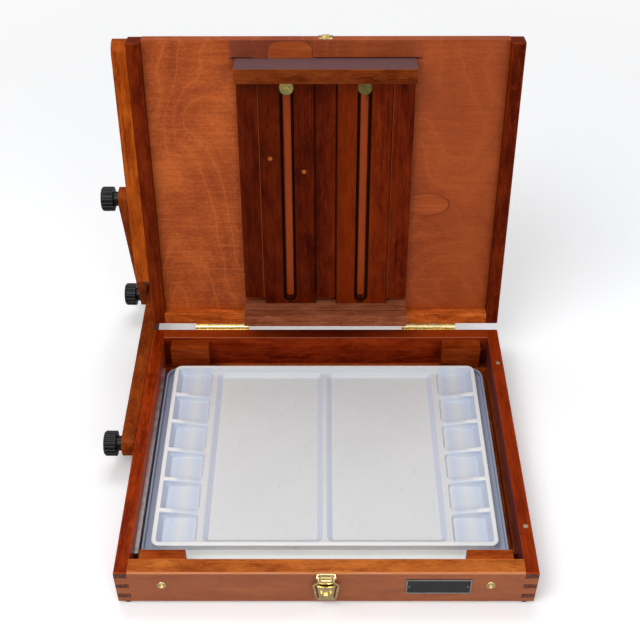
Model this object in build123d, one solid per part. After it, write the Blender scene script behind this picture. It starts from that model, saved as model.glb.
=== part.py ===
"""Pochade box: a flat wooden paint box whose lid is an easel, standing with the lid open.

Millimetres. The origin is the mouth of the tripod socket in the middle of the underside,
+X is the painter's right, +Y the hinge side and +Z up. Everything in the lid is drawn
with the lid closed, in lid places (s from the hinge edge towards the front, h up from
the rim), and is then turned open about the hinge axis.
"""

from build123d import *
from math import cos, hypot, radians, sin, sqrt, tan
import os

# ---- case --------------------------------------------------------------------
CASE_W = 400.0
CASE_D = 333.5
CASE_H = 46.0
SIDE_T = 13.2
FRONT_T = 16.0
BACK_T = 14.0
EDGE_R = 2.0
FLOOR_T = 5.0
FLOOR_LAP = 7.0
DOVETAIL_FIRST = 5.3
DOVETAIL_PITCH = 15.8
DOVETAIL_H = 7.6
DOVETAIL_TAPER = 0.8
DOVETAILS = 3
FOOT_R = 5.0
FOOT_H = 3.5
FOOT_INSET_X = 9.0
FOOT_INSET_Y = 5.5

# ---- blocks, cleats and small metal in the case --------------------------------
BLOCK_W = 43.5
BLOCK_GAP = 9.3
FRONT_BLOCK_D = 10.5
BACK_BLOCK_D = 16.0
BACK_BLOCK_DROP = 3.0
CLEAT_W = 13.0
CLEAT_H = 9.0
STRIP_T = 3.8
STRIP_Z = (15.6, 27.0)
STRIP_FRONT_GAP = 9.2
STRIP_BACK_GAP = 13.7
STRIP_SCREW_R = 1.4
STRIP_SCREW_HEAD_R = 2.6
STRIP_SCREW_HEAD_T = 1.2
STRIP_SCREW_L = 12.0
STRIP_SCREW_IN = 8.0
CUP_R = 4.8
CUP_T = 1.5
CUP_DROP = 18.4
CUP_DISH = 0.45
CUP_DISH_GAP = 0.3
CUP_SCREW_R = 2.0
CUP_SCREW_HEAD_R = 3.2
CUP_SCREW_HEAD_T = 1.9
CUP_SCREW_L = 21.0
RIM_PIN_R = 2.4
RIM_PIN_L = 8.0
RIM_PIN_INSET = 6.1
RIM_PIN_FRONT = 54.0
RIM_PIN_BACK = 54.8

# ---- blank plate and tripod socket ----------------------------------------------
PLATE_W = 62.0
PLATE_INSET = 62.3
PLATE_DROP = (9.7, 31.7)
PLATE_T = 0.7
PLATE_BORDER_W = 1.2
PLATE_BORDER_T = 0.4
PLATE_PIN_R = 0.9
PLATE_PIN_HEAD_T = 0.4
PLATE_PIN_L = 5.0
PLATE_PIN_IN = 3.2
SOCKET_BORE_R = 2.6
SOCKET_BORE_L = 9.0
SOCKET_R = 5.5
SOCKET_H = 11.0
SOCKET_FLANGE_R = 15.0
SOCKET_FLANGE_T = 2.0
SOCKET_SCREW_RING = 11.0
SOCKET_SCREW_R = 1.2
SOCKET_SCREW_HEAD_R = 2.3
SOCKET_SCREW_HEAD_T = 1.0
SOCKET_SCREW_L = 6.0

# ---- lid -------------------------------------------------------------------------
OPEN_DEG = 99.3
HINGE_BACK = 4.9
LID_T = 22.0
STILE_W = 14.0
LID_RAIL_W = 13.7
RECESS = 9.5
LID_EDGE_R = 1.8

# ---- hinges ----------------------------------------------------------------------
HINGE_INSET = 49.0
HINGE_L = 62.0
KNUCKLES = 4
KNUCKLE_GAP = 0.3
BARREL_R = 3.0
HINGE_PIN_R = 1.5
RUNNING = 0.06
LEAF_T = 1.3
LEAF_H = 18.0
LEAF_PARTING = 0.3
LEAF_SCREW_R = 1.4
LEAF_SCREW_HEAD_R = 2.7
LEAF_SCREW_HEAD_T = 0.8
LEAF_SCREW_L = 11.0
LEAF_SCREW_PITCH = 22.0
LEAF_SCREW_UP = 10.0

# ---- easel mast in the lid ---------------------------------------------------------
GUIDE_W = 22.6
BOARD_W = 57.0
SLIDE_GAP = 0.4
BOARD_PROUD = 1.8
GUIDE_BACK = 0.2
BOARD_FOOT_GAP = 0.4
BOARD_TOP_DROP = 33.5
GUIDE_FOOT_S = 35.0
GUIDE_TOP_DROP = 34.5
BAR_H = 15.0
BAR_REACH = 23.0
SLOT_W = 7.8
SLOT_WIDE = 15.4
SLOT_STEP = 4.0
SLOT_FOOT_S = 37.5
MAST_BOLT_DROP = 46.5
MAST_BOLT_R = 3.5
DISK_R = 7.3
DISK_T = 2.4
LEDGE_S = (14.5, 28.6)
LEDGE_REACH = 28.0
LEDGE_LIP_T = 10.0
LEDGE_GROOVE_W = 4.2
LEDGE_GROOVE_D = 3.5
LEDGE_SCREW_X = (-70.0, 0.0, 70.0)
LEDGE_SCREW_L = 32.0
SCREW_R = 2.0
SCREW_HEAD_R = 3.8
SCREW_HEAD_T = 2.0
CROSS_W = 1.25
CROSS_T = 0.34
CROSS_D = 0.3

# ---- folding arms on the left side ---------------------------------------------------
ARM_W = 26.0
SIDE_RAIL_T = 15.0
SIDE_RAIL_FOOT_S = 56.5
SIDE_RAIL_SCREW_IN = 15.5
SIDE_RAIL_SCREW_UP = 80.0
SIDE_RAIL_SCREW_L = 24.0
LOWER_ARM_T = 14.5
UPPER_ARM_T = 9.4
ARM_GAP = 0.4
ELBOW_BACK = 36.2
LID_PIVOT_S = 155.0
CASE_PIVOT_Y = 5.75
CASE_PIVOT_DROP = 14.5
STUD_R = 3.0
STUD_SINK = 11.0
STUD_GRIP = 14.0
STUD_SLOT_GAP = 0.35
ARM_SLOT_SPARE = 3.0

# ---- knobs -----------------------------------------------------------------------------
KNOB_R = 13.4
KNOB_T = 13.0
NECK_R = 8.0
NECK_L = 6.0
KNOB_CHAMFER = 1.6
KNOB_BORE_L = 15.0
KNOB_OFF = 0.3
FLUTES = 20
FLUTE_R = 1.5
FLUTE_D = 0.9
NUT_R = 11.0
NUT_T = 9.0
NUT_NECK_R = 7.0
NUT_NECK_L = 3.0
NUT_BORE_L = 9.0
MAST_BOLT_GRIP = 8.0

# ---- latch -------------------------------------------------------------------------------
LATCH_BASE_T = 1.0
LATCH_BASE_W = 13.0
LATCH_BASE_DROP = (1.0, 35.0)
LATCH_AXIS_OUT = 3.0
LATCH_AXIS_DROP = 3.4
LATCH_PIN_R = 0.8
LATCH_PIN_HEAD_R = 1.5
LATCH_PIN_HEAD_T = 0.7
LATCH_EAR_X = (8.0, 8.8)
LATCH_EAR_R = 1.8
LATCH_BRAD_R = 0.8
LATCH_BRAD_HEAD_R = 1.7
LATCH_BRAD_HEAD_T = 0.6
LATCH_BRAD_L = 8.0
LATCH_BRAD_DROP = (11.6, 30.0)
CHEEK_X = (6.8, 7.8)
CHEEK_R = 1.5
LEVER_T = 1.4
LEVER_NECK_DROP = 9.6
LEVER_SHOULDER_DROP = 14.4
LEVER_TOP_HALF = 13.0
LEVER_FOOT_HALF = 10.4
LEVER_FOOT_CUT = 3.4
LEVER_FOOT = 39.2
LEVER_RIM = 2.2
LEVER_SLOT = 1.7
SHIELD_DROP = 16.4
SHIELD_HOLLOW_R = 18.0
SHIELD_HOLLOW = 2.2
LEVER_LIP_R = 5.2
LEVER_LIP_W = 1.6
LEVER_LIP_T = 1.8
LEVER_LIP_DROP = 25.5
LOOP_OUT = 5.4
LOOP_DROP = 5.2
LOOP_LEAN = 19.5
LOOP_L = 24.65
LOOP_HALF = 5.6
LOOP_WIRE_R = 0.9
LUG_HALF = 4.6
LUG_R = 1.5
LUG_WEB_T = 1.2
STRIKE_W = 15.0
STRIKE_T = 1.0
STRIKE_H = (10.5, 21.5)
STRIKE_LIP_H = (16.9, 18.1)
STRIKE_LIP_OUT = 3.0
STRIKE_LIP_W = 7.5
STRIKE_BRAD_X = 5.6
STRIKE_BRAD_H = 13.3

# ---- palette and its cover -----------------------------------------------------------------
TRAYS_OFF_X = -1.1
COVER_SIDE_GAP = 2.4
COVER_FRONT_GAP = 7.0
COVER_BACK_GAP = 6.5
COVER_T = 1.5
COVER_RIM_H = 6.0
COVER_WALL = 2.0
COVER_CORNER_R = 14.0
PALETTE_SIDE_GAP = 9.1
PALETTE_FRONT_GAP = 12.0
PALETTE_BACK_GAP = 1.4
PALETTE_H = 10.0
PALETTE_FLOOR = 1.8
PALETTE_CORNER_R = 8.5
PALETTE_EDGE_R = 1.0
PALETTE_TAPER = 14.0
PALETTE_RIM = 4.8
WELL_TAPER = 28.0
WELL_CORNER_R = 4.5
WELLS = 6
MIX_TAPER = 60.0
MIX_CORNER_R = 8.0
RIDGE_W = 6.0
RIDGE_EDGE_R = 1.6
PAINT_WELL_W = 36.5
DIVIDER_W = 6.0
DIVIDER_DROP = 5.0
RIB_W = 4.4

# ---- places that follow from the sizes --------------------------------------------------------
X0 = CASE_W / 2
Y_FRONT = -CASE_D / 2
Y_BACK = CASE_D / 2
INNER_X = X0 - SIDE_T
INNER_FRONT = Y_FRONT + FRONT_T
INNER_BACK = Y_BACK - BACK_T
RIM = CASE_H
HINGE_Y = Y_BACK + HINGE_BACK
PANEL_X = X0 - STILE_W
BLOCK_X = (INNER_X - BLOCK_GAP - BLOCK_W, INNER_X - BLOCK_GAP)
CUP_X = (BLOCK_X[0] + BLOCK_X[1]) / 2
FRONT_BLOCK_Y = INNER_FRONT + FRONT_BLOCK_D
BACK_BLOCK_Y = INNER_BACK - BACK_BLOCK_D
STRIP_Y = (FRONT_BLOCK_Y + STRIP_FRONT_GAP, BACK_BLOCK_Y - STRIP_BACK_GAP)
RIM_PIN_Y = (Y_FRONT + RIM_PIN_FRONT, Y_BACK - RIM_PIN_BACK)
PLATE_X = (X0 - PLATE_INSET - PLATE_W, X0 - PLATE_INSET)
HINGE_X = X0 - HINGE_INSET - HINGE_L / 2
COVER_X = INNER_X - STRIP_T - COVER_SIDE_GAP
COVER_Y = (FRONT_BLOCK_Y + COVER_FRONT_GAP, BACK_BLOCK_Y - COVER_BACK_GAP)
COVER_Z = FLOOR_T + CLEAT_H
PALETTE_X = COVER_X - PALETTE_SIDE_GAP
PALETTE_Y = (COVER_Y[0] + PALETTE_FRONT_GAP, COVER_Y[1] - PALETTE_BACK_GAP)
PALETTE_Z = COVER_Z + COVER_T
PALETTE_TOP = PALETTE_Z + PALETTE_H
WELL_TOP = PALETTE_TOP - DIVIDER_DROP
WELL_IN = PALETTE_RIM + DIVIDER_DROP * tan(radians(WELL_TAPER))
WELL_OUT_X = PALETTE_X - WELL_IN
WELL_Y = (PALETTE_Y[0] + WELL_IN, PALETTE_Y[1] - WELL_IN)
WELL_PITCH = (WELL_Y[1] - WELL_Y[0] + RIDGE_W) / WELLS
DIVIDER_X = (WELL_OUT_X - PAINT_WELL_W - DIVIDER_W, WELL_OUT_X - PAINT_WELL_W)
BOARD_X = GUIDE_W / 2 + SLIDE_GAP + BOARD_W / 2
BOARD_H = (-BOARD_PROUD, RECESS - SLIDE_GAP)
BOARD_S = (LEDGE_S[1] + BOARD_FOOT_GAP, CASE_D - BOARD_TOP_DROP)
GUIDE_S = (GUIDE_FOOT_S, CASE_D - GUIDE_TOP_DROP)
MAST_BOLT_S = CASE_D - MAST_BOLT_DROP
MAST_HALF = 1.5 * GUIDE_W + BOARD_W + 2 * SLIDE_GAP
MAST_TRAVEL = MAST_BOLT_S - SLOT_FOOT_S
SIDE_RAIL_S = (SIDE_RAIL_FOOT_S, CASE_D)
SIDE_RAIL_SCREW_S = (
    SIDE_RAIL_S[0] + SIDE_RAIL_SCREW_IN,
    LID_PIVOT_S + SIDE_RAIL_SCREW_UP,
    SIDE_RAIL_S[1] - SIDE_RAIL_SCREW_IN,
)
LID_PIVOT_H = ARM_W / 2
LOWER_ARM_X = (-X0 - ARM_GAP - LOWER_ARM_T, -X0 - ARM_GAP)
UPPER_ARM_IN = -X0 - SIDE_RAIL_T - 1.5 * ARM_GAP
UPPER_ARM_X = (UPPER_ARM_IN - UPPER_ARM_T, UPPER_ARM_IN)
CASE_PIVOT = (CASE_PIVOT_Y, RIM - CASE_PIVOT_DROP)
LATCH_AXIS = (Y_FRONT - LATCH_AXIS_OUT, RIM - LATCH_AXIS_DROP)
LOOP_AXIS = (Y_FRONT - LOOP_OUT, RIM - LOOP_DROP)

LID_OPEN = Pos(0, HINGE_Y, RIM) * Rot(-OPEN_DEG, 0, 0) * Pos(0, -HINGE_Y, -RIM)


def lid_place(s, h, angle=OPEN_DEG):
    """The lid's place (s, h) as (y, z) with the lid opened by the angle in degrees."""
    back = -(s + HINGE_BACK)
    turn = radians(angle)
    y = HINGE_Y + back * cos(turn) + h * sin(turn)
    return y, RIM - back * sin(turn) + h * cos(turn)


UPPER_ARM_L = hypot(lid_place(LID_PIVOT_S, LID_PIVOT_H)[1] - CASE_PIVOT[1], ELBOW_BACK)


def elbow_place(angle=OPEN_DEG):
    """Where the elbow is when the lower arm stays level and the lid is open by the angle."""
    y, z = lid_place(LID_PIVOT_S, LID_PIVOT_H, angle)
    drop = z - CASE_PIVOT[1]
    return y + sqrt(UPPER_ARM_L**2 - drop**2), CASE_PIVOT[1]


ARM_TRAVEL = elbow_place()[0] - elbow_place(0)[0]


# ---- helpers ----------------------------------------------------------------------------------


def block(x, y, z):
    """A box between the pairs of limits x, y and z."""
    middle = [(low + high) / 2 for low, high in (x, y, z)]
    size = [abs(high - low) for low, high in (x, y, z)]
    return Pos(*middle) * Box(*size)


def lid_block(x, s, h):
    """A box in lid places, with the lid closed."""
    return block(x, (Y_BACK - s[1], Y_BACK - s[0]), (RIM + h[0], RIM + h[1]))


def aim(place, along):
    """Carries a shape drawn up the Z axis to the place, turned along the named axis."""
    turns = {"x": (0, 90, 0), "-x": (0, -90, 0), "y": (-90, 0, 0)}
    turns.update({"-y": (90, 0, 0), "z": (0, 0, 0), "-z": (180, 0, 0)})
    return Pos(*place) * Rot(*turns[along])


def rod(radius, length, place, along):
    """A round bar that starts at the place and runs along the named axis, such as "-x"."""
    bar = Cylinder(radius, length, align=(Align.CENTER, Align.CENTER, Align.MIN))
    return aim(place, along) * bar


def bolt(head_r, head_t, shank_r, length, place, along):
    """A flat-headed bolt or brad; the place is the middle of the head's outer face."""
    return rod(head_r, head_t, place, along) + rod(shank_r, length, place, along)


def screw(head_r, head_t, shank_r, length, place, along, driven=False):
    """A countersunk screw, with a cross in its head if it is driven."""
    head = Cone(head_r, shank_r, head_t, align=(Align.CENTER, Align.CENTER, Align.MIN))
    one = aim(place, along) * head + rod(shank_r, length, place, along)
    if driven:
        wide, narrow, deep = CROSS_W * head_r, CROSS_T * head_r, CROSS_D * head_r
        for size in ((wide, narrow), (narrow, wide)):
            one = one - aim(place, along) * Box(*size, 2 * deep)
    return one


def both_sides(shape):
    return [shape, mirror(shape, about=Plane.YZ)]


def group(shapes):
    """Separate solids that share one node."""
    return Compound([solid for shape in shapes for solid in shape.solids()])


def cut(shape, tools):
    for tool in tools:
        shape = shape - tool
    return shape


def edges_at(shape, axis, **places):
    """The edges along the axis whose middles are at the given X, Y or Z."""
    found = shape.edges().filter_by(axis)
    for name, value in places.items():
        found = [edge for edge in found if abs(getattr(edge.center(), name) - value) < 0.01]
    return found


def prism_y(points, y):
    """A prism along Y from an outline of (x, z) points."""
    face = make_face(Polyline(*[(px, y[0], pz) for px, pz in points], close=True))
    return extrude(face, abs(y[1] - y[0]), dir=(0, 1, 0))


def link(start, end, x, width):
    """A flat bar with full-round ends between two (y, z) places."""
    dy = end[0] - start[0]
    dz = end[1] - start[1]
    middle = (x[0], (start[0] + end[0]) / 2, (start[1] + end[1]) / 2)
    plane = Plane(origin=middle, x_dir=(0, dy, dz), z_dir=(1, 0, 0))
    return extrude(plane * SlotCenterToCenter(hypot(dy, dz), width), x[1] - x[0])


def tray_outline(half, y, radius, z):
    middle = (y[0] + y[1]) / 2
    return Pos(0, middle, z) * RectangleRounded(2 * half, y[1] - y[0], radius)


# ---- case -------------------------------------------------------------------------------------


def dovetails(y, reach=0.0):
    """The side wall's pins through the end wall between the limits y, on the +X side."""
    pins = []
    for number in range(DOVETAILS):
        middle = RIM - DOVETAIL_FIRST - number * DOVETAIL_PITCH
        low = middle - DOVETAIL_H / 2
        high = middle + DOVETAIL_H / 2
        top = RIM + reach if number == 0 else high - DOVETAIL_TAPER
        inner_top = RIM + reach if number == 0 else high
        outer = X0 + reach
        points = [(INNER_X, low), (outer, low + DOVETAIL_TAPER), (outer, top), (INNER_X, inner_top)]
        pins.append(prism_y(points, y))
    return pins


def floor_panel():
    half = INNER_X + FLOOR_LAP
    y = (INNER_FRONT - FLOOR_LAP, INNER_BACK + FLOOR_LAP)
    panel = block((-half, half), y, (0, FLOOR_T))
    return cut(panel, [rod(SOCKET_R, FLOOR_T, (0, 0, 0), "z"), *socket_screws()])


def floor_rebate():
    half = INNER_X + FLOOR_LAP
    return block((-half, half), (INNER_FRONT - FLOOR_LAP, INNER_BACK + FLOOR_LAP), (0, FLOOR_T))


def end_wall(y, tools):
    wall = block((-X0, X0), y, (0, RIM))
    if y[0] == Y_FRONT:
        wall = fillet(edges_at(wall, Axis.X, Y=Y_FRONT, Z=RIM), EDGE_R)
    for pin in dovetails(y, reach=1.0):
        wall = cut(wall, both_sides(pin))
    return cut(wall - floor_rebate(), tools)


def front_wall():
    return end_wall((Y_FRONT, INNER_FRONT), [*cup_screws(), *plate_pins(), *latch_brads()])


def back_wall():
    return end_wall((INNER_BACK, Y_BACK), leaf_screws(-1))


def side_wall():
    """The right wall, without the holes of the metal fixed to it."""
    wall = block((INNER_X, X0), (Y_FRONT, Y_BACK), (0, RIM))
    top = [*edges_at(wall, Axis.Y, X=X0, Z=RIM), *edges_at(wall, Axis.X, Y=Y_FRONT, Z=RIM)]
    wall = fillet(top, EDGE_R)
    for y in ((Y_FRONT, INNER_FRONT), (INNER_BACK, Y_BACK)):
        waste = block((INNER_X, X0), y, (0, RIM))
        wall = wall - cut(waste, dovetails(y))
    return wall - floor_rebate()


def right_wall():
    return cut(side_wall(), [*rim_pins(), *strip_screws()])


def left_wall():
    wall = mirror(side_wall(), about=Plane.YZ)
    return cut(wall, [case_arm_bolt(), *strip_screws()])


def rubber_feet():
    feet = []
    for y in (Y_FRONT + FOOT_INSET_Y, Y_BACK - FOOT_INSET_Y):
        foot = rod(FOOT_R, FOOT_H, (X0 - FOOT_INSET_X, y, 0), "-z")
        feet += both_sides(chamfer(foot.edges().sort_by(Axis.Z)[0], FOOT_H / 4))
    return feet


def front_blocks():
    y = (INNER_FRONT, FRONT_BLOCK_Y)
    corner = block(BLOCK_X, y, (FLOOR_T, RIM))
    return [cut(piece, cup_screws()) for piece in both_sides(corner)]


def back_blocks():
    y = (BACK_BLOCK_Y, INNER_BACK)
    return both_sides(block(BLOCK_X, y, (FLOOR_T, RIM - BACK_BLOCK_DROP)))


def cleats():
    y = (FRONT_BLOCK_Y, BACK_BLOCK_Y)
    return both_sides(block((INNER_X - CLEAT_W, INNER_X), y, (FLOOR_T, COVER_Z)))


def guide_strips():
    """The right and the left strip."""
    strip = block((INNER_X - STRIP_T, INNER_X), STRIP_Y, STRIP_Z)
    return [cut(piece, strip_screws()) for piece in both_sides(strip)]


def strip_screws(driven=False):
    screws = []
    middle = (STRIP_Z[0] + STRIP_Z[1]) / 2
    for y in (STRIP_Y[0] + STRIP_SCREW_IN, STRIP_Y[1] - STRIP_SCREW_IN):
        place = (INNER_X - STRIP_T, y, middle)
        size = (STRIP_SCREW_HEAD_R, STRIP_SCREW_HEAD_T, STRIP_SCREW_R, STRIP_SCREW_L)
        screws += both_sides(screw(*size, place, "x", driven))
    return screws


def cup_screws(driven=False):
    size = (CUP_SCREW_HEAD_R, CUP_SCREW_HEAD_T, CUP_SCREW_R, CUP_SCREW_L)
    place = (CUP_X, Y_FRONT - CUP_T + CUP_DISH, RIM - CUP_DROP)
    return both_sides(screw(*size, place, "y", driven))


def cup_washers():
    place = (CUP_X, Y_FRONT, RIM - CUP_DROP)
    washer = rod(CUP_R, CUP_T, place, "-y")
    washer = fillet(washer.edges().sort_by(Axis.Y)[0], CUP_T / 2)
    dish = (CUP_X, Y_FRONT - CUP_T, RIM - CUP_DROP)
    washer = washer - rod(CUP_SCREW_HEAD_R + CUP_DISH_GAP, CUP_DISH, dish, "y")
    return [cut(piece, cup_screws()) for piece in both_sides(washer)]


def rim_pins():
    return [rod(RIM_PIN_R, RIM_PIN_L, (X0 - RIM_PIN_INSET, y, RIM), "-z") for y in RIM_PIN_Y]


def plate_z():
    return RIM - PLATE_DROP[1], RIM - PLATE_DROP[0]


def blank_plate():
    low, high = plate_z()
    plate = block(PLATE_X, (Y_FRONT - PLATE_T, Y_FRONT), (low, high))
    border_y = (Y_FRONT - PLATE_T - PLATE_BORDER_T, Y_FRONT - PLATE_T)
    inner_x = (PLATE_X[0] + PLATE_BORDER_W, PLATE_X[1] - PLATE_BORDER_W)
    inner_z = (low + PLATE_BORDER_W, high - PLATE_BORDER_W)
    plate += block(PLATE_X, border_y, (low, high)) - block(inner_x, border_y, inner_z)
    return cut(plate, plate_pins())


def plate_pins():
    low, high = plate_z()
    pins = []
    for x in (PLATE_X[0] + PLATE_PIN_IN, PLATE_X[1] - PLATE_PIN_IN):
        place = (x, Y_FRONT - PLATE_T - PLATE_PIN_HEAD_T, (low + high) / 2)
        pins.append(rod(PLATE_PIN_R, PLATE_PIN_L, place, "y"))
    return pins


def tripod_socket():
    body = rod(SOCKET_R, SOCKET_H, (0, 0, 0), "z")
    body += rod(SOCKET_FLANGE_R, SOCKET_FLANGE_T, (0, 0, FLOOR_T), "z")
    body = body - rod(SOCKET_BORE_R, SOCKET_BORE_L, (0, 0, 0), "z")
    return cut(body, socket_screws())


def socket_screws(driven=False):
    size = (SOCKET_SCREW_HEAD_R, SOCKET_SCREW_HEAD_T, SOCKET_SCREW_R, SOCKET_SCREW_L)
    one = screw(*size, (SOCKET_SCREW_RING, 0, FLOOR_T + SOCKET_FLANGE_T), "-z", driven)
    return [Rot(0, 0, turn) * one for turn in (90, 210, 330)]


# ---- hinges -----------------------------------------------------------------------------------


def knuckle_spans(first):
    """The X limits of every second knuckle of the right hinge, from the first number."""
    pitch = HINGE_L / KNUCKLES
    start = HINGE_X - HINGE_L / 2
    spans = []
    for number in range(first, KNUCKLES, 2):
        low = start + number * pitch
        spans.append((low + KNUCKLE_GAP / 2, low + pitch - KNUCKLE_GAP / 2))
    return spans


def hinge_leaf(first, side, bore_r):
    """One leaf of the right hinge, closed; side is 1 on the lid and -1 on the case."""
    x = (HINGE_X - HINGE_L / 2, HINGE_X + HINGE_L / 2)
    z = sorted((RIM + side * LEAF_PARTING, RIM + side * LEAF_H))
    leaf = block(x, (Y_BACK, Y_BACK + LEAF_T), z)
    strap = sorted((RIM + side * BARREL_R, RIM + side * (BARREL_R - LEAF_T)))
    for span in knuckle_spans(first):
        leaf += block(span, (Y_BACK, HINGE_Y), strap)
        leaf += rod(BARREL_R, span[1] - span[0], (span[0], HINGE_Y, RIM), "x")
    return leaf - rod(bore_r, HINGE_L, (x[0], HINGE_Y, RIM), "x")


def leaf_screws(side, driven=False):
    screws = []
    size = (LEAF_SCREW_HEAD_R, LEAF_SCREW_HEAD_T, LEAF_SCREW_R, LEAF_SCREW_L)
    for step in (-1, 0, 1):
        place = (HINGE_X + step * LEAF_SCREW_PITCH, Y_BACK + LEAF_T, RIM + side * LEAF_SCREW_UP)
        screws += both_sides(screw(*size, place, "-y", driven))
    return screws


def case_leaves():
    leaves = both_sides(hinge_leaf(0, -1, HINGE_PIN_R))
    return [cut(leaf, leaf_screws(-1)) for leaf in leaves]


def lid_leaves():
    leaves = both_sides(hinge_leaf(1, 1, HINGE_PIN_R + RUNNING))
    return [cut(leaf, leaf_screws(1)) for leaf in leaves]


def hinge_pins():
    return both_sides(rod(HINGE_PIN_R, HINGE_L, (HINGE_X - HINGE_L / 2, HINGE_Y, RIM), "x"))


# ---- lid --------------------------------------------------------------------------------------


def stile(sign):
    x = sorted((sign * PANEL_X, sign * X0))
    piece = lid_block(x, (0, CASE_D), (0, LID_T))
    edges = edges_at(piece, Axis.Y, X=sign * X0)
    edges += edges_at(piece, Axis.X, Y=Y_FRONT)
    return fillet(edges, LID_EDGE_R)


def left_stile():
    return cut(stile(-1), side_rail_screws())


def lid_rail():
    rail = lid_block((-PANEL_X, PANEL_X), (0, LID_RAIL_W), (0, LID_T))
    return cut(rail, leaf_screws(1))


def lid_panel():
    panel = lid_block((-PANEL_X, PANEL_X), (LID_RAIL_W, CASE_D), (RECESS, LID_T))
    return cut(panel, [*mast_bolts(), *ledge_screws(), *strike_brads()])


def guide_slats():
    pitch = 2 * BOARD_X
    slats = []
    for step in (-1, 0, 1):
        x = (step * pitch - GUIDE_W / 2, step * pitch + GUIDE_W / 2)
        slats.append(lid_block(x, GUIDE_S, (GUIDE_BACK, RECESS)))
    return slats


def canvas_ledge():
    ledge = lid_block((-MAST_HALF, MAST_HALF), LEDGE_S, (-LEDGE_REACH, RECESS))
    groove_h = (LEDGE_LIP_T - LEDGE_REACH, LEDGE_LIP_T + LEDGE_GROOVE_W - LEDGE_REACH)
    groove_s = (LEDGE_S[1] - LEDGE_GROOVE_D, LEDGE_S[1])
    ledge = ledge - lid_block((-MAST_HALF, MAST_HALF), groove_s, groove_h)
    return cut(ledge, ledge_screws())


def ledge_screws(driven=False):
    y = Y_BACK - (LEDGE_S[0] + LEDGE_S[1]) / 2
    size = (SCREW_HEAD_R, SCREW_HEAD_T, SCREW_R, LEDGE_SCREW_L)
    return [screw(*size, (x, y, RIM + LID_T), "-z", driven) for x in LEDGE_SCREW_X]


def mast_bolts():
    """Flat-headed bolts that hold the mast boards to the lid."""
    head = RIM - BOARD_PROUD + SLOT_STEP - SLIDE_GAP - DISK_T
    length = RIM + LID_T + MAST_BOLT_GRIP - head
    place = (BOARD_X, Y_BACK - MAST_BOLT_S, head)
    return both_sides(bolt(DISK_R, DISK_T, MAST_BOLT_R, length, place, "z"))


def slot(width, h):
    """The mast slot of the right board, with the given width, between the limits h."""
    middle = Y_BACK - (MAST_BOLT_S + SLOT_FOOT_S) / 2
    outline = Pos(BOARD_X, middle, RIM + h[0]) * Rot(0, 0, 90) * SlotCenterToCenter(MAST_TRAVEL, width)
    return extrude(outline, h[1] - h[0])


def mast_board():
    x = (BOARD_X - BOARD_W / 2, BOARD_X + BOARD_W / 2)
    board = lid_block(x, BOARD_S, BOARD_H)
    board = board - slot(SLOT_W, BOARD_H)
    return board - slot(SLOT_WIDE, (BOARD_H[0], BOARD_H[0] + SLOT_STEP))


def mast_bar():
    s = (BOARD_S[1], BOARD_S[1] + BAR_H)
    return lid_block((-MAST_HALF, MAST_HALF), s, (-BAR_REACH, BOARD_H[1]))


# ---- folding arms -----------------------------------------------------------------------------


def side_rail():
    """The rail on the left of the lid that carries the upper arm."""
    x = (-X0 - SIDE_RAIL_T, -X0)
    round_s = SIDE_RAIL_S[1] - ARM_W / 2
    rail = lid_block(x, (SIDE_RAIL_S[0], round_s), (0, ARM_W))
    rail += rod(ARM_W / 2, SIDE_RAIL_T, (-X0, Y_BACK - round_s, RIM + ARM_W / 2), "-x")
    return cut(rail, [lid_arm_bolt(), *side_rail_screws()])


def side_rail_screws(driven=False):
    size = (SCREW_HEAD_R, SCREW_HEAD_T, SCREW_R, SIDE_RAIL_SCREW_L)
    place = [(-X0 - SIDE_RAIL_T, Y_BACK - s, RIM + ARM_W / 2) for s in SIDE_RAIL_SCREW_S]
    return [screw(*size, point, "x", driven) for point in place]


def lid_arm_bolt():
    """The stud in the side rail, with the lid closed."""
    end = UPPER_ARM_X[0] - STUD_GRIP
    start = -X0 - SIDE_RAIL_T + STUD_SINK
    return rod(STUD_R, start - end, (start, Y_BACK - LID_PIVOT_S, RIM + LID_PIVOT_H), "-x")


def case_arm_bolt():
    end = LOWER_ARM_X[0] - STUD_GRIP
    start = -X0 + STUD_SINK
    return rod(STUD_R, start - end, (start, *CASE_PIVOT), "-x")


def elbow_bolt():
    start = UPPER_ARM_X[1]
    end = UPPER_ARM_X[0] - STUD_GRIP
    return rod(STUD_R, start - end, (start, *elbow_place()), "-x")


def upper_arm():
    top = lid_place(LID_PIVOT_S, LID_PIVOT_H)
    arm = link(top, elbow_place(), UPPER_ARM_X, ARM_W)
    arm = arm - rod(STUD_R + RUNNING, UPPER_ARM_T, (UPPER_ARM_X[1], *top), "-x")
    return arm - elbow_bolt()


def lower_arm():
    elbow = elbow_place()
    arm = link(CASE_PIVOT, elbow, LOWER_ARM_X, ARM_W)
    slot_end = (CASE_PIVOT[0] + ARM_TRAVEL + ARM_SLOT_SPARE, CASE_PIVOT[1])
    arm = arm - link(CASE_PIVOT, slot_end, LOWER_ARM_X, 2 * (STUD_R + STUD_SLOT_GAP))
    return arm - rod(STUD_R, LOWER_ARM_T, (LOWER_ARM_X[1], *elbow), "-x")


# ---- knobs ------------------------------------------------------------------------------------


def knob(head_r, head_t, neck_r, neck_l, bore_r, bore_l):
    """A fluted hand knob on the Z axis with its neck down."""
    head = rod(head_r, head_t, (0, 0, neck_l), "z")
    head = chamfer(head.edges().filter_by(GeomType.CIRCLE).sort_by(Axis.Z)[-1], KNOB_CHAMFER)
    flute = rod(FLUTE_R, head_t, (head_r + FLUTE_R - FLUTE_D, 0, neck_l), "z")
    flutes = [Rot(0, 0, number * 360 / FLUTES) * flute for number in range(FLUTES)]
    body = head - flutes + rod(neck_r, neck_l, (0, 0, 0), "z")
    return body - rod(bore_r, bore_l, (0, 0, 0), "z")


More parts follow.
